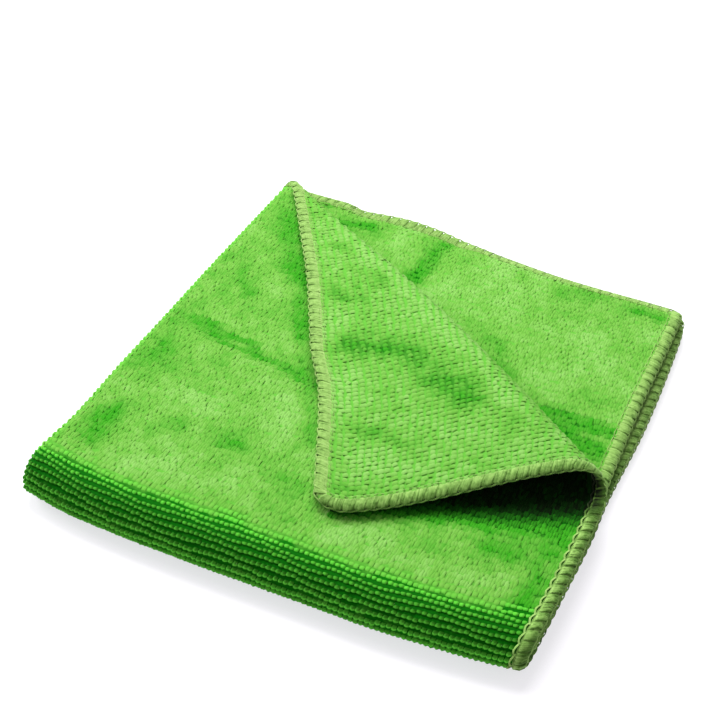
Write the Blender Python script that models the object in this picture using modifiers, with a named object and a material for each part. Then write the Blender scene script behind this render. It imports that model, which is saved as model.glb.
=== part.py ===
"""A square microfibre cloth folded in quarters.

The cloth is one sheet. Its left fold comes first and its front fold goes round both layers, so four
layers lie one on another and all the sewn edges are at the back and on the right. The top layer's
back right corner is rolled over and lies on the top layer. X runs along the front fold, Y towards
the back and Z up. All sizes are millimetres until the mesh is written in metres.
"""

from collections import namedtuple
from math import atan, cos, exp, hypot, pi, radians, sin, sqrt

import bmesh
import bpy
from mathutils import Vector

METRE = 1000.0
HALF_SIDE = 150.0
BODY_THICKNESS = 1.8
HEM_THICKNESS = 2.1
HEM_WIDTH = 4.0
HEM_STEP = 0.8
LAYER_PITCH = 3.1
HALF_THICKNESS = 1.0

# From the middle of a pair of layers to the cloth's right side.
HALF_PAIR = 0.5 * LAYER_PITCH + HALF_THICKNESS
LEFT_FOLD_REACH = 2.9
FRONT_FOLD_STRETCH = 1.9

LEFT_FOLD_PARTS = 6
FRONT_FOLD_PARTS = 8
ROLL_PARTS = 7
FLAT_STEP = 11.0
SHORTEST_EDGE = 0.5
NEAR_ENOUGH = 0.001

# How far the hand-folded outline strays from a true square, by the distance from the left fold.
Along = namedtuple("Along", "from_left front back top_layer_back")
ALONG = (
    Along(-2.0, -1.4, -1.0, -1.0),
    Along(4.0, -2.4, -1.2, -1.2),
    Along(20.0, -4.0, -1.4, -1.8),
    Along(50.0, -3.6, 0.8, -2.8),
    Along(88.0, -1.8, -3.0, -3.4),
    Along(110.0, -0.8, -4.6, -2.8),
    Along(138.0, 2.4, -2.8, -0.6),
    Along(152.0, 5.0, -2.0, 1.0),
)

# The same by the distance from the front fold. The lower pair of layers shows a little past the
# upper pair on the right.
Across = namedtuple("Across", "from_front left right lower_pair_more")
ACROSS = (
    Across(0.0, 0.8, 1.2, -0.4),
    Across(25.0, -0.9, 2.8, -1.0),
    Across(50.0, -0.2, 3.2, -0.6),
    Across(66.0, 0.6, 1.4, 0.8),
    Across(100.0, 2.0, 0.4, 3.0),
    Across(142.0, 4.2, 0.4, 1.6),
    Across(152.0, 4.8, -0.4, 0.8),
)

# The roll that turns the corner over: it starts at the back left and widens to the right edge.
ROLL_START = (6.4, 150.2)
ROLL_END = (152.5, 55.0)
Roll = namedtuple("Roll", "along bulge half_height reach")
ROLL = (
    Roll(0.0, 0.0, 1.35, 1.4),
    Roll(30.0, 0.6, 1.8, 2.2),
    Roll(75.0, 3.4, 2.6, 3.4),
    Roll(120.0, 3.0, 3.5, 5.0),
    Roll(179.0, 0.0, 4.5, 7.0),
)
EXTRA_TURN = radians(10.5)
BULGE_LOST_OVER = 60.0
FLAP_RESTS_AFTER = 55.0

# Places where the stack is pressed down or stands a little full, as a share of its height.
Mark = namedtuple("Mark", "x1 y1 x2 y2 half_width share")
MARKS = (
    Mark(10.0, 78.0, 62.0, 70.0, 4.0, -0.11),
    Mark(108.0, 89.0, 150.0, 84.0, 5.0, -0.1),
    Mark(36.0, 142.0, 42.0, 138.0, 7.0, -0.08),
    Mark(66.0, 126.0, 70.0, 148.0, 5.0, -0.09),
    Mark(30.0, 40.0, 90.0, 34.0, 22.0, 0.05),
    Mark(128.0, 24.0, 134.0, 40.0, 16.0, 0.07),
    Mark(105.0, 124.0, 130.0, 118.0, 14.0, 0.06),
)


def eased(rows, at, column):
    """A table's column at a place between its rows, along a smooth curve through them."""
    places = [row[0] for row in rows]
    values = [getattr(row, column) for row in rows]
    last = len(rows) - 1
    at = min(max(at, places[0]), places[last])
    k = max(i for i in range(last) if places[i] <= at)
    slopes = []
    for i in (k, k + 1):
        before = max(i - 1, 0)
        after = min(i + 1, last)
        slopes.append((values[after] - values[before]) / (places[after] - places[before]))
    gap = places[k + 1] - places[k]
    t = (at - places[k]) / gap
    start = (2 * t**3 - 3 * t**2 + 1) * values[k] + (t**3 - 2 * t**2 + t) * gap * slopes[0]
    end = (3 * t**2 - 2 * t**3) * values[k + 1] + (t**3 - t**2) * gap * slopes[1]
    return start + end


def ramp(t):
    """0 up to 1, level at both ends."""
    t = min(max(t, 0.0), 1.0)
    return t * t * (3 - 2 * t)


def half_oval(high, reach):
    """Length of half an oval that is 2 * high tall and stands out by reach."""
    return pi * sqrt((high * high + reach * reach) / 2)


LEFT_FOLD = half_oval(0.5 * LAYER_PITCH, LEFT_FOLD_REACH - HALF_THICKNESS) / 2
FRONT_FOLD = half_oval(LAYER_PITCH, LAYER_PITCH * FRONT_FOLD_STRETCH) / 2
ROLL_LENGTH = hypot(ROLL_END[0] - ROLL_START[0], ROLL_END[1] - ROLL_START[1])
ROLL_X = (ROLL_END[0] - ROLL_START[0]) / ROLL_LENGTH
ROLL_Y = (ROLL_END[1] - ROLL_START[1]) / ROLL_LENGTH
ROLL_GROWTH = half_oval(ROLL[-1].half_height, ROLL[-1].reach) - half_oval(
    ROLL[0].half_height, ROLL[0].reach
)
TURN = atan(ROLL_GROWTH / ROLL_LENGTH) + EXTRA_TURN
MIDDLE = 1.5 * LAYER_PITCH + HALF_THICKNESS


def fullness(x, y):
    """How much taller or lower than usual the stack is at a place, as a share."""
    total = 0.0
    for mark in MARKS:
        run_x = mark.x2 - mark.x1
        run_y = mark.y2 - mark.y1
        along = ((x - mark.x1) * run_x + (y - mark.y1) * run_y) / (run_x**2 + run_y**2)
        along = min(max(along, 0.0), 1.0)
        away = hypot(x - mark.x1 - along * run_x, y - mark.y1 - along * run_y)
        total += mark.share * exp(-((away / mark.half_width) ** 2))
    return total


def from_roll(x, y):
    """How far along the roll's start line a place on the top layer is, and how far beyond it."""
    along = (x - ROLL_START[0]) * ROLL_X + (y - ROLL_START[1]) * ROLL_Y
    beyond = (y - ROLL_START[1]) * ROLL_X - (x - ROLL_START[0]) * ROLL_Y
    return along, beyond - eased(ROLL, along, "bulge")


def roll_width(along):
    return half_oval(eased(ROLL, along, "half_height"), eased(ROLL, along, "reach"))


def roll_over(x, y):
    """Carries a place on the top layer round the roll if it lies beyond the roll's start, and says
    how far it rises."""
    along, beyond = from_roll(x, y)
    if beyond <= 0:
        return x, y, 0.0
    width = roll_width(along)
    if beyond <= width:
        angle = pi * beyond / width
        reach = eased(ROLL, along, "reach") - HALF_THICKNESS
        out = eased(ROLL, along, "bulge") + reach * sin(angle)
        rise = (eased(ROLL, along, "half_height") - HALF_THICKNESS) * (1 - cos(angle))
    else:
        back = beyond - width
        along += back * sin(TURN)
        out = eased(ROLL, along, "bulge") * (1 - 2 * ramp(back / BULGE_LOST_OVER)) - back
        high = 2 * eased(ROLL, along, "half_height")
        rise = high + (LAYER_PITCH - high) * ramp(back / FLAP_RESTS_AFTER)
        rise -= 2 * HALF_THICKNESS
    x = ROLL_START[0] + ROLL_X * along - ROLL_Y * out
    y = ROLL_START[1] + ROLL_Y * along + ROLL_X * out
    return x, y, rise


def is_top_layer(u, v):
    return u > LEFT_FOLD and v > 0


def laid(u, v):
    """Where a point of the flat cloth goes once it is folded in quarters. u and v are measured
    from its two fold lines: u is positive on the outer layers, and v on the upper ones."""
    turn = min(abs(u) / LEFT_FOLD, 1.0) * pi / 2
    x = LEFT_FOLD_REACH * (1 - cos(turn)) - HALF_THICKNESS + max(abs(u) - LEFT_FOLD, 0.0)
    outward = HALF_PAIR * sin(turn) * (-1 if u < 0 else 1)

    turn = min(abs(v) / FRONT_FOLD, 1.0) * pi / 2
    radius = LAYER_PITCH + outward
    in_front = (1.5 * LAYER_PITCH - radius * cos(turn)) * FRONT_FOLD_STRETCH
    y = in_front + max(abs(v) - FRONT_FOLD, 0.0)
    z = MIDDLE + radius * sin(turn) * (-1 if v < 0 else 1)

    right = min(max(x / HALF_SIDE, 0.0), 1.0)
    behind = min(max(y / HALF_SIDE, 0.0), 1.0)
    lower = ramp((MIDDLE + 1.0 - z) / 2)
    right_side = eased(ACROSS, y, "right") + lower * eased(ACROSS, y, "lower_pair_more")
    back_side = eased(ALONG, x, "top_layer_back" if is_top_layer(u, v) else "back")
    laid_x = x + (1 - right) * eased(ACROSS, y, "left") + right * right_side
    laid_y = y + (1 - behind) * eased(ALONG, x, "front") + behind * back_side
    return laid_x, laid_y, z


def placed(u, v):
    """Where a point of the flat cloth goes in the end."""
    x, y, z = laid(u, v)
    rise = 0.0
    if is_top_layer(u, v):
        x, y, rise = roll_over(x, y)
    share = fullness(x, y)
    share = max(share, share * (1 - ramp(rise / LAYER_PITCH)))
    return x, y, (z + rise) * (1 + share)


def spread(fold, parts):
    """Cut lines on both sides of a fold line: close in the fold, wider on the flat, and at the
    hem."""
    in_fold = [fold * (2 * k / parts - 1) for k in range(parts + 1)]
    hem_line = HALF_SIDE - HEM_WIDTH
    room = hem_line - HEM_STEP - fold
    count = round(room / FLAT_STEP)
    flat = [fold + room * k / count for k in range(1, count + 1)]
    flat.append(hem_line)
    return [-w for w in flat] + in_fold + flat


def cut(mesh, faces, place, normal):
    """Cuts faces of the flat sheet along a straight line."""
    parts = set(faces)
    for face in faces:
        parts.update(face.edges)
        parts.update(face.verts)
    bmesh.ops.bisect_plane(
        mesh, geom=list(parts), dist=NEAR_ENOUGH, plane_co=Vector(place), plane_no=Vector(normal)
    )


def roll_line(u, share):
    """The flat cloth's v at which a share of the roll has been passed, on a line of one u."""
    low, high = FRONT_FOLD, 2 * HALF_SIDE
    while high - low > NEAR_ENOUGH:
        v = (low + high) / 2
        along, beyond = from_roll(*laid(u, v)[:2])
        if beyond < share * roll_width(along):
            low = v
        else:
            high = v
    return low


def flat_pattern():
    """The flat square, cut along its folds, its hem and the lines of the roll."""
    mesh = bmesh.new()
    bmesh.ops.create_grid(mesh, x_segments=1, y_segments=1, size=HALF_SIDE)
    columns = spread(LEFT_FOLD, LEFT_FOLD_PARTS)
    for u in columns:
        cut(mesh, mesh.faces[:], (u, 0, 0), (1, 0, 0))
    for v in spread(FRONT_FOLD, FRONT_FOLD_PARTS):
        cut(mesh, mesh.faces[:], (0, v, 0), (0, 1, 0))
    top = [u for u in columns if u > LEFT_FOLD - NEAR_ENOUGH] + [HALF_SIDE]
    for share in (k / ROLL_PARTS for k in range(ROLL_PARTS + 1)):
        for left, right in zip(top[:-1], top[1:]):
            strip = []
            for face in mesh.faces:
                middle = face.calc_center_median()
                if left < middle.x < right and middle.y > FRONT_FOLD:
                    strip.append(face)
            fall = roll_line(right, share) - roll_line(left, share)
            cut(mesh, strip, (left, roll_line(left, share), 0), (-fall, right - left, 0))
    bmesh.ops.triangulate(mesh, faces=mesh.faces[:])
    bmesh.ops.dissolve_degenerate(mesh, dist=SHORTEST_EDGE, edges=mesh.edges[:])
    return mesh


def fold_cloth():
    pattern = flat_pattern()
    data = bpy.data.meshes.new("cloth")
    thin = []
    for vert in pattern.verts:
        u, v = vert.co.x, vert.co.y
        inside = HALF_SIDE - max(abs(u), abs(v))
        thin.append(1.0 if inside <= HEM_WIDTH + NEAR_ENOUGH else BODY_THICKNESS / HEM_THICKNESS)
        x, y, z = placed(u, v)
        vert.co = Vector((x, y, z)) / METRE
    middle_x = (min(v.co.x for v in pattern.verts) + max(v.co.x for v in pattern.verts)) / 2
    middle_y = (min(v.co.y for v in pattern.verts) + max(v.co.y for v in pattern.verts)) / 2
    bmesh.ops.translate(pattern, verts=pattern.verts[:], vec=(-middle_x, -middle_y, 0))
    pattern.to_mesh(data)
    pattern.free()

    cloth = bpy.data.objects.new("cloth", data)
    group = cloth.vertex_groups.new(name="share of hem thickness")
    for index, share in enumerate(thin):
        group.add([index], share, "REPLACE")
    shell = cloth.modifiers.new("thickness", "SOLIDIFY")
    shell.thickness = HEM_THICKNESS / METRE
    shell.offset = -1.0
    shell.vertex_group = group.name
    data.shade_smooth()
    data.set_sharp_from_angle(angle=radians(50))
    return cloth


def green_knit():
    material = bpy.data.materials.new("green microfibre knit")
    material.use_nodes = True
    shader = material.node_tree.nodes["Principled BSDF"]
    shader.inputs["Base Color"].default_value = (0.15, 0.56, 0.05, 1.0)
    shader.inputs["Roughness"].default_value = 0.9
    shader.inputs["Metallic"].default_value = 0.0
    return material


for leftover in list(bpy.data.objects):
    bpy.data.objects.remove(leftover)
collection = bpy.data.collections.new("microfibre cloth")
bpy.context.scene.collection.children.link(collection)
cloth_object = fold_cloth()
cloth_object.data.materials.append(green_knit())
collection.objects.link(cloth_object)
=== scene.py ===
from math import atan, cos, hypot, pi, radians, sin

import bpy
import numpy as np
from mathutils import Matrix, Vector


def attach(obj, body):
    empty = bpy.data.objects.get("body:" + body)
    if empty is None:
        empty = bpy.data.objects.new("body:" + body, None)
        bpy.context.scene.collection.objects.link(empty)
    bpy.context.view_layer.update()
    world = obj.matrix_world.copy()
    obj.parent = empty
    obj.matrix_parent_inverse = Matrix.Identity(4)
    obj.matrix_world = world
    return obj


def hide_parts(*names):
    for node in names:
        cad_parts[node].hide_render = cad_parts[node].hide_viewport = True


# A green microfibre cloth, folded in quarters, with one corner of its top layer turned over. It is
# drawn flat, in millimetres from its two fold lines, and every piece of it is carried through the
# same folds: the ground, the loops of its pile and the thread of its hem.
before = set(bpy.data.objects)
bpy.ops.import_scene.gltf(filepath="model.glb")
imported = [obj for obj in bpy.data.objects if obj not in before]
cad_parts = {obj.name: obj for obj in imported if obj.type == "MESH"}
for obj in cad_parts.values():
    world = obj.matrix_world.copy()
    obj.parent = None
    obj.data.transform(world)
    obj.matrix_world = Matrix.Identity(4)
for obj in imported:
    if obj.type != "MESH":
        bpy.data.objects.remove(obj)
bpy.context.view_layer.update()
MM = 0.001

# ---------------------------------------------------------------------------------------------
# The ground: one square of fine microfibre knit, 300 mm on a side. It is folded in half from
# right to left and then from back to front, so the folds lie on the left and at the front, and
# the top layer's back right corner is rolled over towards the front left.
# ---------------------------------------------------------------------------------------------
HALF_SIDE = 150.0
GROUND_HALF_SIDE = 148.6
GROUND_HALF_THICKNESS = 0.50
GROUND_STEP = 2.1
LAYER_PITCH = 3.1
PILE_HEIGHT = 1.0
LEFT_FOLD_REACH = 2.9
FRONT_FOLD_STRETCH = 1.9

# How far the hand-folded outline strays from a true square, by the distance from the left fold.
ALONG = {
    "from_left": (-2.0, 4.0, 20.0, 50.0, 88.0, 110.0, 138.0, 152.0),
    "front": (-1.4, -2.4, -4.0, -3.6, -1.8, -0.8, 2.4, 5.0),
    "back": (-1.0, -1.2, -0.6, 2.2, -1.4, -3.0, -1.4, -1.0),
    "top_layer_back": (-1.0, -1.2, -2.3, -2.1, -1.6, -3.6, -1.5, 1.0),
}
# The same by the distance from the front fold.
ACROSS = {
    "from_front": (0.0, 9.0, 25.0, 50.0, 66.0, 100.0, 142.0, 152.0),
    "left": (-2.4, -3.0, -0.9, -0.2, 0.6, 2.0, 4.2, 4.8),
    "right": (1.2, 1.8, 2.8, 3.2, 1.4, 0.4, 0.4, -0.4),
    "lower_pair_more": (-0.4, -0.6, -1.0, -0.6, 0.8, 3.0, 1.6, 0.8),
    "top_layer_more": (0.0, 0.0, 0.0, 0.0, 1.0, 2.5, 1.7, -2.7),
}
# The roll that turns the corner over starts at the back left and widens to the right edge.
ROLL_START = (0.6, 150.3)
ROLL_END = (151.9, 53.9)
ROLL = {
    "along": (0.0, 30.0, 75.0, 120.0, 179.0),
    "bulge": (0.0, 0.6, 3.4, 3.0, 0.0),
    "half_height": (1.35, 1.8, 2.6, 3.5, 4.5),
    "reach": (1.4, 2.2, 3.4, 5.0, 7.0),
}
EXTRA_TURN = radians(7.3)
BULGE_LOST_OVER = 60.0
FLAP_RESTS_AFTER = 55.0
EASES_INTO_LEFT_FOLD = 5.0

# Creases from an earlier folding, dimples and full places: a line from (x1, y1) to (x2, y2), its
# half width, and the share of the stack's height that it adds.
MARKS = (
    (8.0, 75.0, 60.0, 66.5, 4.0, -0.11),
    (108.0, 89.0, 150.0, 84.0, 5.0, -0.10),
    (36.0, 142.0, 42.0, 138.0, 7.0, -0.08),
    (66.0, 126.0, 70.0, 148.0, 5.0, -0.09),
    (30.0, 40.0, 90.0, 34.0, 22.0, 0.05),
    (128.0, 24.0, 134.0, 40.0, 16.0, 0.07),
    (105.0, 124.0, 130.0, 118.0, 14.0, 0.06),
    (34.0, 151.0, 146.0, 151.0, 4.5, -0.30),
)


def eased(table, at, column):
    """A table's column at places between its rows, along a smooth curve through them."""
    places = np.array(next(iter(table.values())))
    values = np.array(table[column])
    at = np.clip(at, places[0], places[-1])
    k = np.clip(np.searchsorted(places, at, "right") - 1, 0, len(places) - 2)
    before = np.maximum(np.arange(len(places)) - 1, 0)
    after = np.minimum(np.arange(len(places)) + 1, len(places) - 1)
    slopes = (values[after] - values[before]) / (places[after] - places[before])
    gap = places[k + 1] - places[k]
    t = (at - places[k]) / gap
    start = (2 * t**3 - 3 * t**2 + 1) * values[k] + (t**3 - 2 * t**2 + t) * gap * slopes[k]
    end = (3 * t**2 - 2 * t**3) * values[k + 1] + (t**3 - t**2) * gap * slopes[k + 1]
    return start + end


def ramp(t):
    """0 up to 1, level at both ends."""
    t = np.clip(t, 0.0, 1.0)
    return t * t * (3 - 2 * t)


def half_oval(high, reach):
    """Length of half an oval that is 2 * high tall and stands out by reach."""
    return pi * np.sqrt((high * high + reach * reach) / 2)


LEFT_FOLD = half_oval(0.5 * LAYER_PITCH, LEFT_FOLD_REACH - PILE_HEIGHT) / 2
FRONT_FOLD = half_oval(LAYER_PITCH, LAYER_PITCH * FRONT_FOLD_STRETCH) / 2
ROLL_LENGTH = hypot(ROLL_END[0] - ROLL_START[0], ROLL_END[1] - ROLL_START[1])
ROLL_X = (ROLL_END[0] - ROLL_START[0]) / ROLL_LENGTH
ROLL_Y = (ROLL_END[1] - ROLL_START[1]) / ROLL_LENGTH
ROLL_GROWTH = half_oval(ROLL["half_height"][-1], ROLL["reach"][-1]) - half_oval(
    ROLL["half_height"][0], ROLL["reach"][0]
)
TURN = atan(ROLL_GROWTH / ROLL_LENGTH) + EXTRA_TURN
MIDDLE = 1.5 * LAYER_PITCH + PILE_HEIGHT


def near_lines(x, y, lines):
    """Each line's share, faded with the distance from it and added up."""
    total = np.zeros_like(x)
    for x1, y1, x2, y2, half_width, share in lines:
        run_x, run_y = x2 - x1, y2 - y1
        along = ((x - x1) * run_x + (y - y1) * run_y) / (run_x**2 + run_y**2)
        along = np.clip(along, 0.0, 1.0)
        away = np.hypot(x - x1 - along * run_x, y - y1 - along * run_y)
        total += share * np.exp(-((away / half_width) ** 2))
    return total


def laid(u, v, off):
    """Where places of the flat cloth go once it is folded in quarters, off from its middle
    towards its right side."""
    turn = np.minimum(np.abs(u) / LEFT_FOLD, 1.0) * pi / 2
    reach = LEFT_FOLD_REACH - PILE_HEIGHT + off
    x = reach * (1 - np.cos(turn)) - off + np.maximum(np.abs(u) - LEFT_FOLD, 0.0)
    outward = (0.5 * LAYER_PITCH + off) * np.sin(turn) * np.where(u < 0, -1, 1)

    turn = np.minimum(np.abs(v) / FRONT_FOLD, 1.0) * pi / 2
    radius = LAYER_PITCH + outward
    in_front = (1.5 * LAYER_PITCH - radius * np.cos(turn)) * FRONT_FOLD_STRETCH
    y = in_front + np.maximum(np.abs(v) - FRONT_FOLD, 0.0)
    z = MIDDLE + radius * np.sin(turn) * np.where(v < 0, -1, 1)

    right = np.clip(x / HALF_SIDE, 0.0, 1.0)
    behind = np.clip(y / HALF_SIDE, 0.0, 1.0)
    lower = ramp((MIDDLE + 1.0 - z) / 2)
    on_top = (u > LEFT_FOLD) & (v > 0)
    right_side = eased(ACROSS, y, "right") + lower * eased(ACROSS, y, "lower_pair_more")
    right_side = right_side + on_top * eased(ACROSS, y, "top_layer_more")
    back_side = np.where(on_top, eased(ALONG, x, "top_layer_back"), eased(ALONG, x, "back"))
    laid_x = x + (1 - right) * eased(ACROSS, y, "left") + right * right_side
    laid_y = y + (1 - behind) * eased(ALONG, x, "front") + behind * back_side
    return laid_x, laid_y, z


def from_roll(x, y):
    """How far along the roll's start line places on the top layer are, and how far beyond it."""
    along = (x - ROLL_START[0]) * ROLL_X + (y - ROLL_START[1]) * ROLL_Y
    beyond = (y - ROLL_START[1]) * ROLL_X - (x - ROLL_START[0]) * ROLL_Y
    return along, beyond - eased(ROLL, along, "bulge")


def roll_over(x, y, off):
    """Carries places on the top layer round the roll if they lie beyond its start."""
    along, beyond = from_roll(x, y)
    half_height, reach = eased(ROLL, along, "half_height"), eased(ROLL, along, "reach")
    width = half_oval(half_height, reach)
    angle = pi * np.clip(beyond / width, 0.0, 1.0)
    out_on_roll = eased(ROLL, along, "bulge") + (reach - off) * np.sin(angle)
    rise_on_roll = (half_height - off) * (1 - np.cos(angle))

    back = np.maximum(beyond - width, 0.0)
    along_flap = along + back * sin(TURN)
    bulge = eased(ROLL, along_flap, "bulge") * (1 - 2 * ramp(back / BULGE_LOST_OVER))
    high = 2 * eased(ROLL, along_flap, "half_height")
    rise_flap = high + (LAYER_PITCH - high) * ramp(back / FLAP_RESTS_AFTER) - 2 * off

    rolled = beyond <= width
    along = np.where(rolled, along, along_flap)
    out = np.where(rolled, out_on_roll, bulge - back)
    rise = np.where(rolled, rise_on_roll, rise_flap)
    over_x = ROLL_START[0] + ROLL_X * along - ROLL_Y * out
    over_y = ROLL_START[1] + ROLL_Y * along + ROLL_X * out
    flat = beyond <= 0
    return np.where(flat, x, over_x), np.where(flat, y, over_y), np.where(flat, 0.0, rise)


def folded(u, v, off):
    """Where places of the flat cloth go in the end, in millimetres."""
    u, v, off = np.broadcast_arrays(u, v, off)
    x, y, z = laid(u, v, off)
    over_x, over_y, rise = roll_over(x, y, off)
    on_top = ramp((u - LEFT_FOLD) / EASES_INTO_LEFT_FOLD) * (v > 0)
    x, y = x + on_top * (over_x - x), y + on_top * (over_y - y)
    rise = on_top * rise
    share = near_lines(x, y, MARKS)
    share = np.maximum(share, share * (1 - ramp(rise / LAYER_PITCH)))
    return np.stack([x, y, np.maximum((z + rise) * (1 + share), 0.02)], -1)


def in_frame(points):
    """Millimetres from the two folds to metres from the middle of the stack."""
    return (points - STACK_MIDDLE) * MM


sides = np.linspace(-HALF_SIDE, HALF_SIDE, 601)
outline = folded(sides[:, None], sides[None, :], PILE_HEIGHT).reshape(-1, 3)
STACK_MIDDLE = (outline.min(0) + outline.max(0)) / 2
STACK_MIDDLE[2] = 0.0


def make_mesh(name, points, faces):
    """A mesh object from points in the frame and faces of three or four corners."""
    data = bpy.data.meshes.new(name)
    sizes = np.array([len(block[0]) for block in faces for _ in range(len(block))])
    corners = np.concatenate([np.asarray(block).ravel() for block in faces])
    data.vertices.add(len(points))
    data.vertices.foreach_set("co", np.ascontiguousarray(points, np.float32).ravel())
    data.loops.add(len(corners))
    data.loops.foreach_set("vertex_index", corners.astype(np.int32))
    data.polygons.add(len(sizes))
    starts = np.concatenate([[0], np.cumsum(sizes)[:-1]])
    data.polygons.foreach_set("loop_start", starts.astype(np.int32))
    data.polygons.foreach_set("use_smooth", np.ones(len(sizes), bool))
    data.update(calc_edges=True)
    data.validate()
    piece = bpy.data.objects.new(name, data)
    bpy.context.scene.collection.objects.link(piece)
    return piece


def cut_lines(fold, fold_step):
    """Places of the ground's grid lines: close together round a fold and wider on the flat."""
    in_fold = np.linspace(-fold, fold, 2 * round(fold / fold_step) + 1)
    count = round((GROUND_HALF_SIDE - fold) / GROUND_STEP)
    flat = np.linspace(fold, GROUND_HALF_SIDE, count + 1)[1:]
    return np.concatenate([-flat[::-1], in_fold, flat])


FOLD_STEP = 0.9
columns = cut_lines(LEFT_FOLD, FOLD_STEP)
rows = cut_lines(FRONT_FOLD, FOLD_STEP)
grid_u, grid_v = np.meshgrid(columns, rows, indexing="ij")
right_side = folded(grid_u, grid_v, GROUND_HALF_THICKNESS)
wrong_side = folded(grid_u, grid_v, -GROUND_HALF_THICKNESS)
across, down = grid_u.shape
number = np.arange(across * down).reshape(across, down)
quads = np.stack([number[:-1, :-1], number[1:, :-1], number[1:, 1:], number[:-1, 1:]], -1)
quads = quads.reshape(-1, 4)
rim = np.concatenate([number[:, 0], number[-1, 1:], number[-2::-1, -1], number[0, -2::-1]])
below = across * down
rim_quads = np.stack([rim[:-1], rim[:-1] + below, rim[1:] + below, rim[1:]], -1)
points = np.concatenate([right_side.reshape(-1, 3), wrong_side.reshape(-1, 3)])
ground = make_mesh("ground", in_frame(points), [quads, quads[:, ::-1] + below, rim_quads])


def add_node(tree, kind, values):
    """A new node of a material, with these values on its inputs."""
    node = tree.nodes.new(kind)
    for name, value in values.items():
        node.inputs[name].default_value = value
    return node


def soft_fibre(name, finish):
    """A new material with this finish, and its shader."""
    material = bpy.data.materials.new(name)
    material.use_nodes = True
    shader = material.node_tree.nodes["Principled BSDF"]
    for socket, value in finish.items():
        shader.inputs[socket].default_value = value
    return material, shader


def point_value(tree, name):
    """A value that the points of the piece carry."""
    node = tree.nodes.new("ShaderNodeAttribute")
    node.attribute_name = name
    return node.outputs["Fac"]


def uneven(tree, value, scale, swing):
    """A value with soft random swings either way, kept from 0 to 1."""
    place = tree.nodes.new("ShaderNodeTexCoord")
    noise = add_node(tree, "ShaderNodeTexNoise", {"Scale": scale, "Detail": 3.0})
    tree.links.new(place.outputs["Object"], noise.inputs["Vector"])
    span = {"From Min": 0.3, "From Max": 0.7, "To Min": -swing, "To Max": swing}
    swings = add_node(tree, "ShaderNodeMapRange", span)
    tree.links.new(noise.outputs["Fac"], swings.inputs["Value"])
    both = tree.nodes.new("ShaderNodeMath")
    both.use_clamp = True
    tree.links.new(value, both.inputs[0])
    tree.links.new(swings.outputs["Result"], both.inputs[1])
    return both.outputs["Value"]


def three_colours(tree, value, low, middle, middle_at, high):
    """Colours from low to high as a value goes from 0 to 1."""
    colours = tree.nodes.new("ShaderNodeValToRGB")
    colours.color_ramp.elements[0].color = (*low, 1.0)
    colours.color_ramp.elements[1].color = (*high, 1.0)
    colours.color_ramp.elements.new(middle_at).color = (*middle, 1.0)
    tree.links.new(value, colours.inputs["Fac"])
    return colours.outputs["Color"]


def with_painted_shade(tree, colour, value, darkest):
    """A colour multiplied down, to this share of itself, as a value goes from 0 to -1: painted
    shade.
    """
    span = {"From Min": -1.0, "From Max": 0.0, "To Min": darkest}
    share = add_node(tree, "ShaderNodeMapRange", span)
    tree.links.new(value, share.inputs["Value"])
    dimmed = tree.nodes.new("ShaderNodeHueSaturation")
    tree.links.new(share.outputs["Result"], dimmed.inputs["Value"])
    tree.links.new(colour, dimmed.inputs["Color"])
    return dimmed.outputs["Color"]


def fibre_relief(tree, shader, scale, strength, depth):
    """Fine fibres in relief on the shader. Gives their pattern."""
    place = tree.nodes.new("ShaderNodeTexCoord")
    fibres = add_node(tree, "ShaderNodeTexNoise", {"Scale": scale, "Detail": 2.0})
    tree.links.new(place.outputs["Object"], fibres.inputs["Vector"])
    relief = add_node(tree, "ShaderNodeBump", {"Strength": strength, "Distance": depth * MM})
    tree.links.new(fibres.outputs["Fac"], relief.inputs["Height"])
    tree.links.new(relief.outputs["Normal"], shader.inputs["Normal"])
    return fibres.outputs["Fac"]


KNIT_FINISH = {
    "Roughness": 0.95,
    "Specular IOR Level": 0.06,
    "Sheen Weight": 0.10,
    "Sheen Roughness": 0.5,
    "Sheen Tint": (0.45, 0.95, 0.25, 1.0),
}


def knit_material(name, open_root, flat_root, open_tip, flat_tip, pale):
    """Looped microfibre: dark at the foot of the loops and light at their tips, the dark foot being
    painted shade between the loops. Loops that stand open are a fuller green, and the more they are
    matted the paler they are. Where the lay is below 0 the colour is made darker: painted shade."""
    material, shader = soft_fibre(name, KNIT_FINISH)
    tree = material.node_tree
    lay_and_painted_shade = point_value(tree, "lay_and_painted_shade")
    matted = uneven(tree, lay_and_painted_shade, 240.0, 0.16)
    roots = tree.nodes.new("ShaderNodeMix")
    roots.data_type = "RGBA"
    roots.inputs["A"].default_value = (*open_root, 1.0)
    roots.inputs["B"].default_value = (*flat_root, 1.0)
    tree.links.new(matted, roots.inputs["Factor"])
    colour = tree.nodes.new("ShaderNodeMix")
    colour.data_type = "RGBA"
    tree.links.new(roots.outputs["Result"], colour.inputs["A"])
    tips = three_colours(tree, matted, open_tip, flat_tip, 0.62, pale)
    tree.links.new(tips, colour.inputs["B"])
    tree.links.new(point_value(tree, "painted_shade_by_height"), colour.inputs["Factor"])
    seen = with_painted_shade(tree, colour.outputs["Result"], lay_and_painted_shade, 0.02)
    tree.links.new(seen, shader.inputs["Base Color"])
    fibres = fibre_relief(tree, shader, 2600.0, 0.3, 0.2)
    rough = add_node(tree, "ShaderNodeMapRange", {"To Min": 0.85, "To Max": 1.0})
    tree.links.new(fibres, rough.inputs["Value"])
    tree.links.new(rough.outputs["Result"], shader.inputs["Roughness"])
    return material


# The ground's open colour is nearly black: painted shade between the open rows of loops.
GROUND_OPEN = (0.002, 0.12, 0.001)
GROUND_FLAT = (0.11, 0.38, 0.04)
ground_green = knit_material(
    "green ground knit", GROUND_OPEN, GROUND_FLAT, GROUND_OPEN, GROUND_FLAT, GROUND_FLAT
)
ground_green.node_tree.nodes["Principled BSDF"].inputs["Sheen Weight"].default_value = 0.0
ground.data.materials.append(ground_green)
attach(ground, "root")
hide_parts("cloth")

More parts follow.
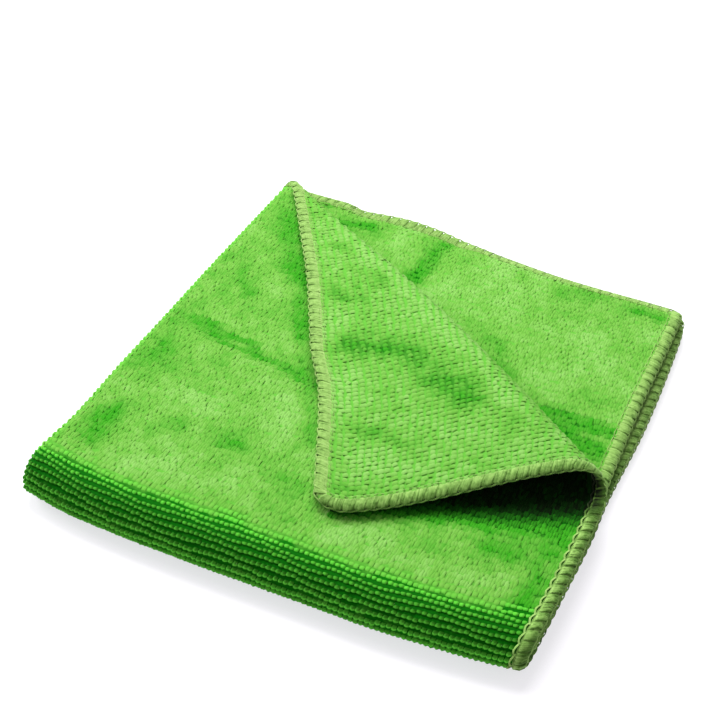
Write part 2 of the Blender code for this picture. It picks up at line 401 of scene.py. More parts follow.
# ---------------------------------------------------------------------------------------------
# The pile on the right side: rows of short loops of split microfibre yarn, knitted with the
# ground. On the flat they are combed down and matted. Round the front fold the rows open and
# show the dark foot of the loops between them.
# ---------------------------------------------------------------------------------------------
COLUMN_PITCH = 1.5
ROW_PITCH = 2.1
HEM_WIDTH = 3.9
FOOT = 0.15
chance = np.random.default_rng(7)

# Where the pile of the top layer lies flatter, or stands more open, than round about: a line, its
# half width and how much.
TOP_LAYER_PLACES = (
    (5.8, 71.6, 12.1, 73.0, 4.0, -0.35),
    # Along the crease the pile opens, and its dark lines there are partly painted shade.
    (11.0, 75.6, 34.0, 71.6, 1.3, -0.9),
    (14.0, 71.4, 36.0, 67.8, 1.2, -0.9),
    (34.0, 69.9, 57.0, 65.4, 1.6, -0.8),
    (9.6, 18.4, 9.5, 29.4, 4.5, -0.5),
    (8.2, 60.0, 9.0, 52.0, 5.0, -0.3),
    (46.0, 34.6, 50.0, 34.6, 3.6, -0.35),
    (67.0, 28.3, 71.0, 28.3, 4.0, -0.3),
    (13.6, 98.0, 21.1, 92.5, 4.0, -0.35),
    (28.7, 32.0, 30.0, 33.0, 3.5, -0.3),
    # These three follow the turned flap's left edge: painted shadow of the flap on the layer below.
    (12.7, 134.8, 27.9, 113.2, 6.0, -0.55),
    (29.0, 110.0, 45.0, 83.0, 4.0, -0.45),
    (45.0, 83.0, 68.0, 44.0, 3.0, -0.3),
    (143.3, 17.2, 147.5, 24.6, 5.0, -0.8),
    (130.1, 28.8, 148.5, 41.4, 6.0, -0.5),
    (26.0, 14.0, 36.0, 17.0, 6.0, 0.25),
    (35.6, 46.5, 38.0, 49.0, 8.0, 0.25),
    (56.3, 58.8, 56.2, 43.2, 7.0, 0.25),
    (88.8, 14.4, 96.7, 20.1, 7.0, 0.3),
    (127.2, 14.7, 135.6, 22.3, 6.0, 0.4),
    (54.0, 21.5, 60.0, 22.0, 6.0, 0.2),
)
OPEN_BEHIND_FRONT = 9.0
# Painted shade: the pile of the top layer is painted dark behind this line, where the flap arches
# over it.
PAINTED_SHADE_BEHIND = ((78.0, 400.0), (84.0, 22.0), (101.0, 28.5), (134.0, 38.5), (150.0, 47.0))
PAINTED_SHADE_COMES_OVER = (8, 14)
PAINTED_SHADE_UNDER_ARCH = 0.96
# Painted shade on the lower half of the front fold and on its shoulder.
PAINTED_SHADE_UNDER_FRONT_FOLD = 0.72
PAINTED_SHADE_ON_SHOULDER = 0.25
SHOULDER_HALF_WIDTH = 3.5
LAY_ON_LEFT_FOLD = 0.45
LAY_UNDERNEATH = 0.55


def even_places(start, end, pitch, path):
    """Places from start to end whose points on the folded surface are a pitch apart."""
    fine = np.linspace(start, end, 4001)
    line = path(fine)
    run = np.concatenate([[0.0], np.cumsum(np.linalg.norm(np.diff(line, axis=0), axis=1))])
    count = round(run[-1] / pitch)
    return np.interp(np.linspace(0.5, count - 0.5, count) * run[-1] / count, run, fine)


def stretch(u, v, off):
    """How much longer the folded surface is than the flat cloth, along u and along v."""
    small = 0.4
    over_u = folded(u + small, v, off) - folded(u - small, v, off)
    over_v = folded(u, v + small, off) - folded(u, v - small, off)
    return (
        np.linalg.norm(over_u, axis=-1) / (2 * small),
        np.linalg.norm(over_v, axis=-1) / (2 * small),
    )


def blotches(x, y, size, seed):
    """Soft uneven patches of about this size, from -1 to 1."""
    heights = np.random.default_rng(seed).uniform(-1, 1, (90, 90))
    across, down = (x + 20) / size, (y + 20) / size
    i, j = across.astype(int), down.astype(int)
    s, t = ramp(across - i), ramp(down - j)
    near = heights[i, j] * (1 - s) + heights[i + 1, j] * s
    far = heights[i, j + 1] * (1 - s) + heights[i + 1, j + 1] * s
    return near * (1 - t) + far * t


def set_values(piece, name, values):
    """Gives each point of a piece a value that its material reads."""
    layer = piece.data.attributes.new(name, "FLOAT", "POINT")
    layer.data.foreach_set("value", np.ascontiguousarray(values, np.float32).ravel())


def unit(rows):
    """The same directions, each one long."""
    return rows / np.maximum(np.linalg.norm(rows, axis=-1, keepdims=True), 1e-9)


def own_squares(piece, count, blocks):
    """A bake map with a square of its own for each of the like strands of a piece. Each block
    holds one strand's corners, from 0 to 1, for one kind of face."""
    along = int(np.ceil(np.sqrt(count)))
    square = np.stack([np.arange(count) % along, np.arange(count) // along], -1)[:, None]
    places = [(square + 0.06 + 0.88 * block.reshape(-1, 2)) / along for block in blocks]
    places = np.concatenate([block.reshape(-1, 2) for block in places])
    layer = piece.data.uv_layers.new(name="OFBake")
    layer.data.foreach_set("uv", np.ascontiguousarray(places, np.float32).ravel())


# Two forms of strand: where its rings are along it and how thick it is there, the sides of a ring,
# its height by its width, and how far its shading follows the cloth under it.
PLUMP = {
    "at": (-0.86, -0.4, 0.4, 0.86),
    "thick": (0.84, 1.0, 1.0, 0.84),
    "sides": 5,
    "high": 0.46,
    "soft": 0.75,
}
PLAIN = {
    "at": (-0.64, 0.0, 0.64),
    "thick": (0.86, 1.0, 0.86),
    "sides": 4,
    "high": 0.5,
    "soft": 0.68,
}
SOFT_WHERE_OPEN = 0.35
LEANING_END_DIPS = 0.35


def strands(name, u, v, side, length, width, top, heading, lay_and_painted_shade, boxy, lean, form):
    """Closed strands of pile. u and v are their middles, and the sizes have one value for each
    strand. Upright ones go into the ground at both ends, the more squarely the more boxy they
    are, and leaning ones end on the next row."""
    count = len(u)
    sides, rings = form["sides"], len(form["at"])
    stretch_u, stretch_v = stretch(u, v, side * top)
    share = np.concatenate([[-1.0], np.repeat(form["at"], sides), [1.0]])
    around = np.tile(np.arange(sides) * 2 * pi / sides + pi / 2, rings)
    around = np.concatenate([[0.0], around, [0.0]])
    thick = np.concatenate([[0.0], np.repeat(form["thick"], sides), [0.0]])
    upright = 1 - np.abs(share) ** boxy
    leaning = 0.1 + 0.9 * ramp((share + 1) / 1.1) - LEANING_END_DIPS * (share == 1.0)
    lean = (lean * np.clip(lay_and_painted_shade, 0, 1))[:, None]
    arch = (1 - lean) * upright + lean * leaning
    ahead = 0.5 * length[:, None] * share
    aside = width[:, None] * thick * np.cos(around)
    half_high = form["high"] * width[:, None]
    middle = FOOT + (top[:, None] - half_high - FOOT) * arch
    rise = middle + half_high * thick * np.sin(around)
    cosine, sine = np.cos(heading)[:, None], np.sin(heading)[:, None]
    over_u = (ahead * sine + aside * cosine) / stretch_u[:, None]
    over_v = (ahead * cosine - aside * sine) / stretch_v[:, None]
    at_u, at_v = u[:, None] + over_u, v[:, None] + over_v
    points = folded(at_u, at_v, side * rise)
    outward = unit(folded(at_u, at_v, side * (rise + 0.1)) - points)
    inside = folded(
        u[:, None] + ahead * sine / stretch_u[:, None],
        v[:, None] + ahead * cosine / stretch_v[:, None], side * (middle - 0.01),
    )
    own = unit(points - inside)
    stands_open = (lay_and_painted_shade < 0.02)[:, None, None]
    soft = form["soft"] + (SOFT_WHERE_OPEN - form["soft"]) * stands_open
    normals = unit(soft * outward + (1 - soft) * own)

    k = np.arange(sides)
    right = (k + 1) % sides
    first_of_ring = 1 + sides * np.arange(rings)
    quads = np.concatenate([
        np.stack([a + k, a + right, a + sides + right, a + sides + k], -1)
        for a in first_of_ring[:-1]
    ])
    last = first_of_ring[-1]
    tips = np.concatenate([
        np.stack([0 * k, 1 + right, 1 + k], -1),
        np.stack([0 * k + last + sides, last + k, last + right], -1),
    ])
    cut = np.linspace(0, 1, rings + 2)
    low, high = k / sides, (k + 1) / sides

    def corner(s, t):
        """Places on the bake map, s along the strand and t round it."""
        return np.stack([0 * k + s, t], -1)

    quad_corners = np.concatenate([
        np.stack([corner(s, low), corner(s, high), corner(e, high), corner(e, low)], 1)
        for s, e in zip(cut[1:-2], cut[2:-1])
    ])
    tip_corners = np.concatenate([
        np.stack([corner(0.0, (low + high) / 2), corner(cut[1], high), corner(cut[1], low)], 1),
        np.stack([corner(1.0, (low + high) / 2), corner(cut[-2], low), corner(cut[-2], high)], 1),
    ])
    if side > 0:
        quads, tips = quads[:, ::-1], tips[:, ::-1]
        quad_corners, tip_corners = quad_corners[:, ::-1], tip_corners[:, ::-1]
    first = (np.arange(count) * len(share))[:, None, None]
    faces = [(first + quads).reshape(-1, 4), (first + tips).reshape(-1, 3)]
    piece = make_mesh(name, in_frame(points.reshape(-1, 3)), faces)
    piece.data.normals_split_custom_set_from_vertices(normals.reshape(-1, 3))
    own_squares(piece, count, [quad_corners, tip_corners])
    # Painted shade: the colour runs from the dark foot up to the tip by height on the strand, and
    # goes back towards the foot where the lay is below 0.
    shade = np.clip(rise / top[:, None], 0, 1) ** 1.2
    shade = shade * (1 + chance.normal(0, 0.05, count))[:, None] * np.clip(1 + lay_and_painted_shade, 0, 1)[:, None]
    set_values(piece, "painted_shade_by_height", np.clip(shade, 0, 1))
    set_values(piece, "lay_and_painted_shade", np.repeat(lay_and_painted_shade + chance.normal(0, 0.05, count), len(share)))
    return piece


def pile(name, u, v, side, lay_and_painted_shade, length, width, boxy, turn, lean, stray):
    """The loops of a stretch of pile, one plump strand each, turned on the rows by an angle. Where
    the pile stands open they are short and stand in tidy rows."""
    count = len(u)
    stretch_u, stretch_v = stretch(u, v, side * 0.8)
    loose = stray * (0.3 + 0.7 * np.clip(lay_and_painted_shade, 0, 1))
    ahead = chance.normal(0, 0.11, count) * stray
    aside = chance.normal(0, 0.09, count) * loose
    heading = turn + chance.normal(0, 0.11, count) * loose
    long = np.interp(lay_and_painted_shade, (0, 1), length) * (1 + chance.normal(0, 0.07, count) * stray)
    wide = np.interp(lay_and_painted_shade, (0, 1), width) * (1 + chance.normal(0, 0.06, count) * stray)
    lay_and_painted_shade = lay_and_painted_shade + chance.normal(0, 0.06, count) * (stray - 1)
    top = 1.10 - 0.10 * np.clip(lay_and_painted_shade, 0, 1) + chance.normal(0, 0.03, count)
    return strands(
        name, u + aside / stretch_u, v + ahead / stretch_v, side,
        long, wide, top, heading, lay_and_painted_shade, boxy=boxy, lean=lean, form=PLUMP,
    )


def matted_pile(name, u, v, side, lay_and_painted_shade, length, width, lean):
    """The same where the loops are combed down: each opens into two thin strands, which stray from
    their row and reach over the next one."""
    both = []
    for way in (-1, 1):
        count = len(u)
        stretch_u, stretch_v = stretch(u, v, side * 0.8)
        aside = way * 0.36 + chance.normal(0, 0.09, count)
        ahead = chance.uniform(-0.6, 0.6, count)
        long = length * (1 + chance.normal(0, 0.12, count))
        wide = width * (1 + chance.normal(0, 0.10, count))
        top = 1.0 + 0.02 * way + chance.normal(0, 0.03, count)
        heading = chance.normal(0, 0.08, count)
        both.append((u + aside / stretch_u, v + ahead / stretch_v, long, wide, top, heading, lay_and_painted_shade))
    u, v, long, wide, top, heading, lay_and_painted_shade = [np.concatenate(pair) for pair in zip(*both)]
    return strands(
        name, u, v, side, long, wide, top, heading, lay_and_painted_shade, boxy=3.0, lean=lean, form=PLAIN
    )


# The rows and columns are even along two lines over the tips of the pile, and a little wavy.
LOOP_TIPS = 0.9
inner_end = HALF_SIDE - HEM_WIDTH + 0.2
right_columns = even_places(
    -LEFT_FOLD + 0.3, inner_end, COLUMN_PITCH, lambda u: folded(u, 60.0, LOOP_TIPS)
)
right_rows = even_places(-inner_end, inner_end, ROW_PITCH, lambda v: folded(20.0, v, LOOP_TIPS))
u, v = [g.ravel() for g in np.meshgrid(right_columns, right_rows, indexing="ij")]
v = v + 0.16 * np.sin(u / 9.0 + 0.3) + 0.12 * np.sin(u / 3.7 + v)
x, y, _ = laid(u, v, 0.0 * u)
_, beyond = from_roll(x, y)
turned = (u > LEFT_FOLD) & (v > 0) & (beyond > 0)


def right_side_lay_and_painted_shade(u, v):
    """How far the pile of the right side lies down, from 0 where it stands open to 1. Below 0 it
    carries painted shade: under the front fold, on its shoulder, and under the arch of the turned
    corner."""
    place = folded(u, v, LOOP_TIPS)
    x, y = place[..., 0], place[..., 1]
    lay_and_painted_shade = 0.60 + 0.16 * blotches(x, y, 9.0, 1) + 0.15 * blotches(x, y, 4.0, 2)
    lay_and_painted_shade = lay_and_painted_shade + near_lines(x, y, TOP_LAYER_PLACES) * (v > 0)
    lay_and_painted_shade = np.clip(lay_and_painted_shade, 0.08, 1) * ramp((v - FRONT_FOLD + 2) / OPEN_BEHIND_FRONT)
    lay_and_painted_shade = np.where((u <= LEFT_FOLD) & (np.abs(v) > FRONT_FOLD), LAY_ON_LEFT_FOLD, lay_and_painted_shade)
    # Painted shade on the lower half of the front fold and on its shoulder.
    lay_and_painted_shade = np.clip(lay_and_painted_shade, 0, 1) - PAINTED_SHADE_UNDER_FRONT_FOLD * ramp(-v / FRONT_FOLD) * (v > -FRONT_FOLD)
    lay_and_painted_shade = lay_and_painted_shade - PAINTED_SHADE_ON_SHOULDER * np.exp(-(((v - FRONT_FOLD) / SHOULDER_HALF_WIDTH) ** 2))
    # Painted shade under the arch of the turned corner.
    x, y, _ = laid(u, v, 0.0 * u)
    _, beyond = from_roll(x, y)
    under_flap = (v > 0) & (u > LEFT_FOLD)
    edge = np.interp(x, *zip(*PAINTED_SHADE_BEHIND))
    dark = ramp((y - edge + 4) / np.interp(x, (84, 110), PAINTED_SHADE_COMES_OVER))
    dark = np.where(beyond < 3, dark, 1.0)
    return lay_and_painted_shade - under_flap * (lay_and_painted_shade + PAINTED_SHADE_UNDER_ARCH) * dark


lay_and_painted_shade = right_side_lay_and_painted_shade(u, v)
underneath = (v < -FRONT_FOLD) & (u > LEFT_FOLD)
round_folds = ~underneath & ((np.abs(v) <= FRONT_FOLD) | (u <= LEFT_FOLD))
top_layer = ~turned & ~underneath & ~round_folds
# Darker foot colours: painted shade between the loops, deepest where they stand open.
PILE_ROOT_OPEN = (0.003, 0.17, 0.002)
PILE_ROOT_FLAT = (0.135, 0.38, 0.046)
PILE_OPEN = (0.038, 0.29, 0.010)
# A lighter open colour for the folds: painted light, as less light reaches them than the flats.
PILE_OPEN_PAINTED_LIGHTER_ON_FOLDS = (0.105, 0.52, 0.038)
PILE_FLAT = (0.142, 0.375, 0.050)
PILE_PALE = (0.21, 0.44, 0.10)
pile_green = knit_material(
    "green microfibre pile", PILE_ROOT_OPEN, PILE_ROOT_FLAT, PILE_OPEN, PILE_FLAT, PILE_PALE
)
# A copy of the pile's material with that lighter colour: painted light on the folds.
fold_green_painted_lighter = knit_material(
    "green pile on the folds, painted lighter", PILE_ROOT_OPEN, PILE_ROOT_FLAT,
    PILE_OPEN_PAINTED_LIGHTER_ON_FOLDS, PILE_FLAT, PILE_PALE,
)


def dress(piece, material):
    """Gives a piece its material, and fixes it to the cloth."""
    piece.data.materials.append(material)
    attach(piece, "root")
    return piece


RIGHT_LENGTH = (1.25, 2.6)
RIGHT_WIDTH = (0.78, 0.70)
open_rows = top_layer & (v < FRONT_FOLD + 0.7 * OPEN_BEHIND_FRONT)
# The folds and the open rows behind the front fold take the copy painted lighter.
for name, chosen in (("pile_folds", round_folds), ("pile_behind_front_fold", open_rows)):
    loops = u[chosen], v[chosen], 1, lay_and_painted_shade[chosen]
    piece = pile(
        name, *loops, RIGHT_LENGTH, RIGHT_WIDTH, boxy=3.0, turn=0.0, lean=0.3, stray=1.0
    )
    dress(piece, fold_green_painted_lighter)
for name, chosen in (
    ("pile_top_front", top_layer & ~open_rows & (v < 72)),
    ("pile_top_back", top_layer & (v >= 72)),
    ("pile_inside_flap", turned & (u > 112)),
):
    loops = u[chosen], v[chosen], 1, lay_and_painted_shade[chosen]
    piece = matted_pile(name, *loops, length=3.0, width=0.52, lean=0.9)
    dress(piece, pile_green)
count = int(underneath.sum())
length = chance.normal(2.5, 0.15, count)
width = chance.normal(0.66, 0.03, count)
top = chance.normal(0.97, 0.01, count)
heading = chance.normal(0, 0.15, count)
piece = strands(
    "pile_underneath", u[underneath], v[underneath], 1, length, width, top, heading,
    np.full(count, LAY_UNDERNEATH), boxy=3.0, lean=0.0, form=PLAIN,
)
dress(piece, pile_green)

# ---------------------------------------------------------------------------------------------
# The pile on the reverse: the same yarn in rounder, more even loops, which show on the flap, on
# the outside of its roll and on the second layer beyond it.
# ---------------------------------------------------------------------------------------------
# The same places on the flap, and then on the second layer.
FLAP_PLACES = (
    (39.0, 120.7, 41.0, 119.5, 3.6, -0.3),
    (49.2, 100.2, 52.0, 99.0, 3.6, -0.45),
    (63.6, 81.6, 82.4, 85.0, 6.0, -0.6),
    (90.8, 77.3, 102.2, 75.1, 7.0, -0.52),
    (78.4, 51.3, 89.0, 51.3, 3.6, -0.4),
    (83.2, 28.7, 92.0, 33.0, 2.5, -0.35),
    (117.4, 59.6, 120.5, 67.4, 5.0, -0.1),
    (57.3, 113.2, 58.5, 112.0, 3.5, -0.35),
    # These two run along the ridge of the roll: painted highlight.
    (30.0, 138.0, 60.0, 119.0, 4.0, 0.3),
    (60.0, 119.0, 120.0, 77.0, 3.5, 0.3),
    (49.7, 123.1, 51.0, 122.0, 4.0, 0.2),
    (78.0, 106.5, 80.0, 105.0, 6.0, 0.15),
    (55.3, 91.4, 56.0, 90.0, 5.0, 0.2),
    (67.4, 63.7, 70.0, 57.0, 7.0, 0.25),
    (86.0, 42.0, 100.0, 44.0, 6.0, 0.15),
)
SECOND_LAYER_PLACES = (
    (29.5, 139.8, 39.9, 143.6, 3.4, -0.7),
    (66.6, 145.4, 64.5, 125.2, 3.6, -0.65),
    (20.0, 148.0, 22.0, 148.0, 2.5, -0.6),
    (109.9, 140.2, 122.7, 143.2, 4.0, -0.4),
    (136.0, 142.0, 146.0, 142.0, 2.5, -0.5),
    (88.8, 114.2, 101.7, 107.8, 3.0, -0.3),
    (97.4, 105.8, 108.0, 96.3, 4.0, -0.35),
    (123.9, 88.7, 146.0, 88.7, 2.4, -1.2),
    (127.7, 82.9, 142.7, 80.2, 3.6, -1.1),
    (136.0, 98.3, 141.0, 98.0, 3.5, -0.25),
    (92.0, 150.0, 106.0, 148.0, 9.0, 0.35),
    (79.4, 128.1, 76.4, 118.6, 8.0, 0.25),
    (133.6, 111.1, 127.2, 120.2, 8.0, 0.25),
)
REVERSE_LENGTH = (1.78, 1.98)
REVERSE_WIDTH = (0.79, 0.83)
reverse_columns = np.arange(COLUMN_PITCH / 2, inner_end, COLUMN_PITCH)
reverse_rows = np.arange(FRONT_FOLD, inner_end, ROW_PITCH)
u, v = [g.ravel() for g in np.meshgrid(reverse_columns, reverse_rows, indexing="ij")]
x, y, _ = laid(u, v, 0.0 * u)
_, beyond = from_roll(x, y)
chosen = (u > LEFT_FOLD) & (beyond > -1.0)
uf, vf = u[chosen], v[chosen]


def reverse_lay(u, v):
    """The same for the reverse, on the flap and on the second layer."""
    place = folded(u, v, 0.0)
    x, y = place[..., 0], place[..., 1]
    flap = 0.74 + 0.12 * blotches(x, y, 9.0, 3) + 0.12 * blotches(x, y, 3.0, 4)
    flap = flap + near_lines(x, y, FLAP_PLACES)
    second = 0.67 + 0.15 * blotches(x, y, 9.0, 5) + 0.12 * blotches(x, y, 4.0, 6)
    second = second + near_lines(x, y, SECOND_LAYER_PLACES)
    return np.clip(np.where(u > 0, flap, second), 0.05, 1)


loops = uf, vf, -1, reverse_lay(uf, vf)
piece = pile(
    "pile_flap", *loops, REVERSE_LENGTH, REVERSE_WIDTH, boxy=3.4, turn=0.14, lean=0.0, stray=1.6
)
dress(piece, pile_green)
x, y, _ = laid(-u, v, 0.0 * u)
_, beyond = from_roll(x, y)
chosen = (beyond > 0.0) & (u > LEFT_FOLD)
us, vs = -u[chosen], v[chosen]
loops = us, vs, -1, reverse_lay(us, vs)
piece = matted_pile("pile_second_layer", *loops, length=2.6, width=0.51, lean=0.5)
dress(piece, pile_green)
# The ground takes the same values, painted shade included.
both_sides = [right_side_lay_and_painted_shade(grid_u, grid_v).ravel(), reverse_lay(grid_u, grid_v).ravel()]
set_values(ground, "lay_and_painted_shade", np.concatenate(both_sides))
set_values(ground, "painted_shade_by_height", np.clip(1 + np.concatenate(both_sides), 0, 1))

# ---------------------------------------------------------------------------------------------
# The hem: the raw edge is overlocked all round with a soft, bulky thread in a paler olive green.
# It fans out from the very edge to the two lines of needle stitches.
# ---------------------------------------------------------------------------------------------
STITCH = 3.3
CORNER = 4.2
HEM_HALF_THICKNESS = 1.0
STRANDS_A_STITCH = 7
# How much darker or lighter the thread is made by its place on the cloth: painted shade on the
# lower layers near the front and under the turned corner, painted light on them further back.
LOWER_LAYERS_DARKER = 0.42
BACK_OF_TOP_LAYER_LIGHTER = 0.08
RIGHT_EDGE_LIGHTER = 0.10
RIGHT_EDGE_FALLS_BEHIND = 0.22
UNDER_CORNER_PAINTED_SHADE = 1.4


def round_the_edge(t):
    """Places on the cloth's edge, and the way out of it, at distances along the edge from the
    middle of the back side."""
    straight = 2 * (HALF_SIDE - CORNER)
    side = straight + CORNER * pi / 2
    t = t + straight / 2
    quarter = np.floor(t / side)
    into = t - quarter * side
    angle = np.clip((into - straight) / CORNER, 0, pi / 2)
    a = -straight / 2 + np.minimum(into, straight) + CORNER * np.sin(angle)
    b = HALF_SIDE - CORNER + CORNER * np.cos(angle)
    cosine, sine = np.cos(-quarter * pi / 2), np.sin(-quarter * pi / 2)
    out_a, out_b = np.sin(angle), np.cos(angle)
    return (
        a * cosine - b * sine,
        a * sine + b * cosine,
        out_a * cosine - out_b * sine,
        out_a * sine + out_b * cosine,
    )


EDGE_LENGTH = 4 * (2 * (HALF_SIDE - CORNER) + CORNER * pi / 2)


def on_hem(t, inward, off):
    """Where a place on the hem goes, by its distance along the edge and inward from it."""
    edge_u, edge_v, out_u, out_v = round_the_edge(t)
    return folded(edge_u - out_u * inward, edge_v - out_v * inward, off)


fine = np.linspace(0, EDGE_LENGTH, 12001)
longer = np.zeros(12000)
for off in (-0.8, 0.8):
    path = on_hem(fine, 0.6 * HEM_WIDTH, off)
    longer = np.maximum(longer, np.linalg.norm(np.diff(path, axis=0), axis=1))
run = np.concatenate([[0.0], np.cumsum(longer)])
STITCHES = round(run[-1] / STITCH)
stitch_starts = np.interp(np.arange(STITCHES) * run[-1] / STITCHES, run, fine)
stitch_lengths = np.diff(np.append(stitch_starts, EDGE_LENGTH))


def painted_light_and_shade_by_place(t, inward, off):
    """What a place on the hem adds to the tone of its thread: painted shade on the lower layers
    near the front and under the turned corner, painted light on them further back, and lighter or
    darker along the back and the right edge.
    """
    edge_u, edge_v, _, _ = round_the_edge(t)
    on_right, at_back = edge_u > HALF_SIDE - 2, edge_v > HALF_SIDE - 2
    # Painted shade on the lower layers near the front, turning to painted light further back.
    near_front = 1 - 1.6 * ramp((-50 - edge_v) / 40)
    tone_and_painted_shade = -LOWER_LAYERS_DARKER * ramp(-edge_v / 6) * near_front
    tone_and_painted_shade = tone_and_painted_shade + BACK_OF_TOP_LAYER_LIGHTER * at_back * (edge_u > 0)
    behind = ramp((edge_v - 50) / 10)
    tone_and_painted_shade = tone_and_painted_shade + on_right * (RIGHT_EDGE_LIGHTER - RIGHT_EDGE_FALLS_BEHIND * behind)
    # Painted shade on the hem under the turned corner.
    under_corner = (edge_u > HALF_SIDE - 8) * ramp((edge_v - 46) / 9) * ramp(off / 0.7)
    return tone_and_painted_shade - UNDER_CORNER_PAINTED_SHADE * under_corner * ramp(inward / 2.2)


def threads(name, t, inward, off, radius, tone_and_painted_shade):
    """Threads that follow paths over the hem. The arrays hold a row for each thread and a value
    for each of its rings."""
    sides = 4
    t, inward, off, radius = np.broadcast_arrays(t, inward, off, radius)
    middle = on_hem(t, inward, off)
    ahead = unit(np.gradient(middle, axis=1))
    inside = on_hem(t, inward * 0.0 + HEM_WIDTH / 2, off * 0.0)
    outward = middle - inside
    outward = unit(outward - ahead * (outward * ahead).sum(-1, keepdims=True))
    beside = np.cross(ahead, outward)
    angles = (np.arange(sides) + 0.5) * 2 * pi / sides
    ring = (
        middle[:, :, None]
        + radius[:, :, None, None] * np.cos(angles)[:, None] * outward[:, :, None]
        + radius[:, :, None, None] * np.sin(angles)[:, None] * beside[:, :, None]
    )
    count, rings = t.shape
    number = np.arange(rings * sides).reshape(rings, sides)
    nxt = np.roll(number, -1, axis=1)
    tube = np.stack([number[:-1], nxt[:-1], nxt[1:], number[1:]], -1).reshape(-1, 4)
    ends = np.stack([number[0, ::-1], number[-1]])
    first = (np.arange(count) * rings * sides)[:, None, None]
    quads = (first + np.concatenate([tube, ends])[None]).reshape(-1, 4)
    piece = make_mesh(name, in_frame(ring.reshape(-1, 3)), [quads])
    own = (ring - middle[:, :, None]) / radius[:, :, None, None]
    normals = unit(0.5 * outward[:, :, None] + 0.5 * own)
    piece.data.normals_split_custom_set_from_vertices(normals.reshape(-1, 3))
    r, s = np.meshgrid(np.arange(rings - 1), np.arange(sides), indexing="ij")
    r, s = r.ravel() / rings, s.ravel() / sides
    step_r, step_s = 1 / rings, 1 / sides
    corners = np.stack([
        np.stack([r, s], -1), np.stack([r, s + step_s], -1),
        np.stack([r + step_r, s + step_s], -1), np.stack([r + step_r, s], -1),
    ], 1)
    cap = np.array([[0.0, 0.0], [0.0, 1.0], [1.0, 1.0], [1.0, 0.0]])
    cap = cap * (0.9 * step_r, 0.45) + (1 - step_r, 0.0)
    caps = np.stack([cap, cap + (0.0, 0.5)])
    own_squares(piece, count, [np.concatenate([corners, caps])])
    # A random tone for each thread, and the painted light and shade by its place.
    tone_and_painted_shade = tone_and_painted_shade + chance.normal(0, 0.08, count)[:, None] + painted_light_and_shade_by_place(t, inward, off)
    set_values(piece, "tone_and_painted_shade", np.repeat(tone_and_painted_shade, sides, axis=1))
    return piece


THREAD_FINISH = {
    "Roughness": 0.85,
    "Specular IOR Level": 0.2,
    "Sheen Weight": 0.2,
    "Sheen Roughness": 0.5,
    "Sheen Tint": (0.75, 0.95, 0.5, 1.0),
}


def thread_material(name, dark, colour, light):
    """Bulky hem thread, uneven in tone, with fine filaments. Where the tone is below 0 its colour
    is
    made darker still: painted shade."""
    material, shader = soft_fibre(name, THREAD_FINISH)
    tree = material.node_tree
    tone_and_painted_shade = point_value(tree, "tone_and_painted_shade")
    tones = three_colours(tree, uneven(tree, tone_and_painted_shade, 700.0, 0.2), dark, colour, 0.5, light)
    tree.links.new(with_painted_shade(tree, tones, tone_and_painted_shade, 0.03), shader.inputs["Base Color"])
    fibre_relief(tree, shader, 3800.0, 0.35, 0.15)
    return material


olive = thread_material(
    "olive hem thread", (0.06, 0.15, 0.015), (0.21, 0.38, 0.082), (0.30, 0.48, 0.135)
)

# The edge of the ground under the thread.
steps = np.sort(np.concatenate([stitch_starts, stitch_starts + stitch_lengths / 2]))
profile = np.linspace(0, 2 * pi, 12, endpoint=False)
t = np.broadcast_to(steps[:, None], (len(steps), len(profile)))
inward = HEM_WIDTH / 2 + 0.1 + (HEM_WIDTH / 2 - 0.2) * np.cos(profile)[None, :] + 0 * t
off = HEM_HALF_THICKNESS * 0.75 * np.sin(profile)[None, :] + 0 * t
points = on_hem(t, inward, off)
number = np.arange(points.shape[0] * points.shape[1]).reshape(points.shape[:2])
nxt = np.roll(number, -1, axis=0)
quads = np.stack([number, np.roll(number, -1, 1), np.roll(nxt, -1, 1), nxt], -1).reshape(-1, 4)
band = make_mesh("hem_band", in_frame(points.reshape(-1, 3)), [quads])
# The band is darker in tone than the threads over it: painted shade in the gaps between them.
set_values(band, "tone_and_painted_shade", 0.3 + 0.0 * points[..., 0])
dress(band, olive)

# The looper threads, which cross the band on both sides and turn round the edge.
start = np.repeat(stitch_starts, STRANDS_A_STITCH)
length = np.repeat(stitch_lengths, STRANDS_A_STITCH)
fan = np.tile((np.arange(STRANDS_A_STITCH) + 0.5) / STRANDS_A_STITCH * 2 - 1, STITCHES)
angle = np.linspace(0.10 * pi, 1.90 * pi, 8)
to_needle = (1 + np.cos(angle)) / 2
spread = np.where(np.sin(angle) > 0, 0.42, 0.48) * (0.74 + 0.26 * to_needle ** 0.7)
sweep = fan[:, None] * spread[None, :] + 0.28 * to_needle[None, :]
t = start[:, None] + length[:, None] * (sweep + chance.normal(0, 0.03, sweep.shape))
padded = 1 + 0.10 * (1 - fan**2)[:, None] * (1 - to_needle)[None, :]
padded = padded + chance.normal(0, 0.05, sweep.shape)
inward = HEM_WIDTH / 2 + (HEM_WIDTH / 2 + 0.05) * np.cos(angle)[None, :]
inward = inward * np.where(np.sin(angle) > 0, 0.82, 1.0)
off = HEM_HALF_THICKNESS * 0.86 * np.sin(angle)[None, :] * padded
radius = 0.32 + 0.0 * angle[None, :]
outer = ramp(1.2 - inward / (0.6 * HEM_WIDTH))
# Darker at the sides of each fan; painted shade on the hem's outer part, most on the right side.
tone_and_painted_shade = 0.58 - np.where(off > 0, 0.25, 0.12) * np.abs(fan)[:, None]
tone_and_painted_shade = tone_and_painted_shade - outer * np.where(off > 0, 0.5, 0.2)
cover = threads("hem_cover_threads", t, inward, off, radius, tone_and_painted_shade)
dress(cover, olive)

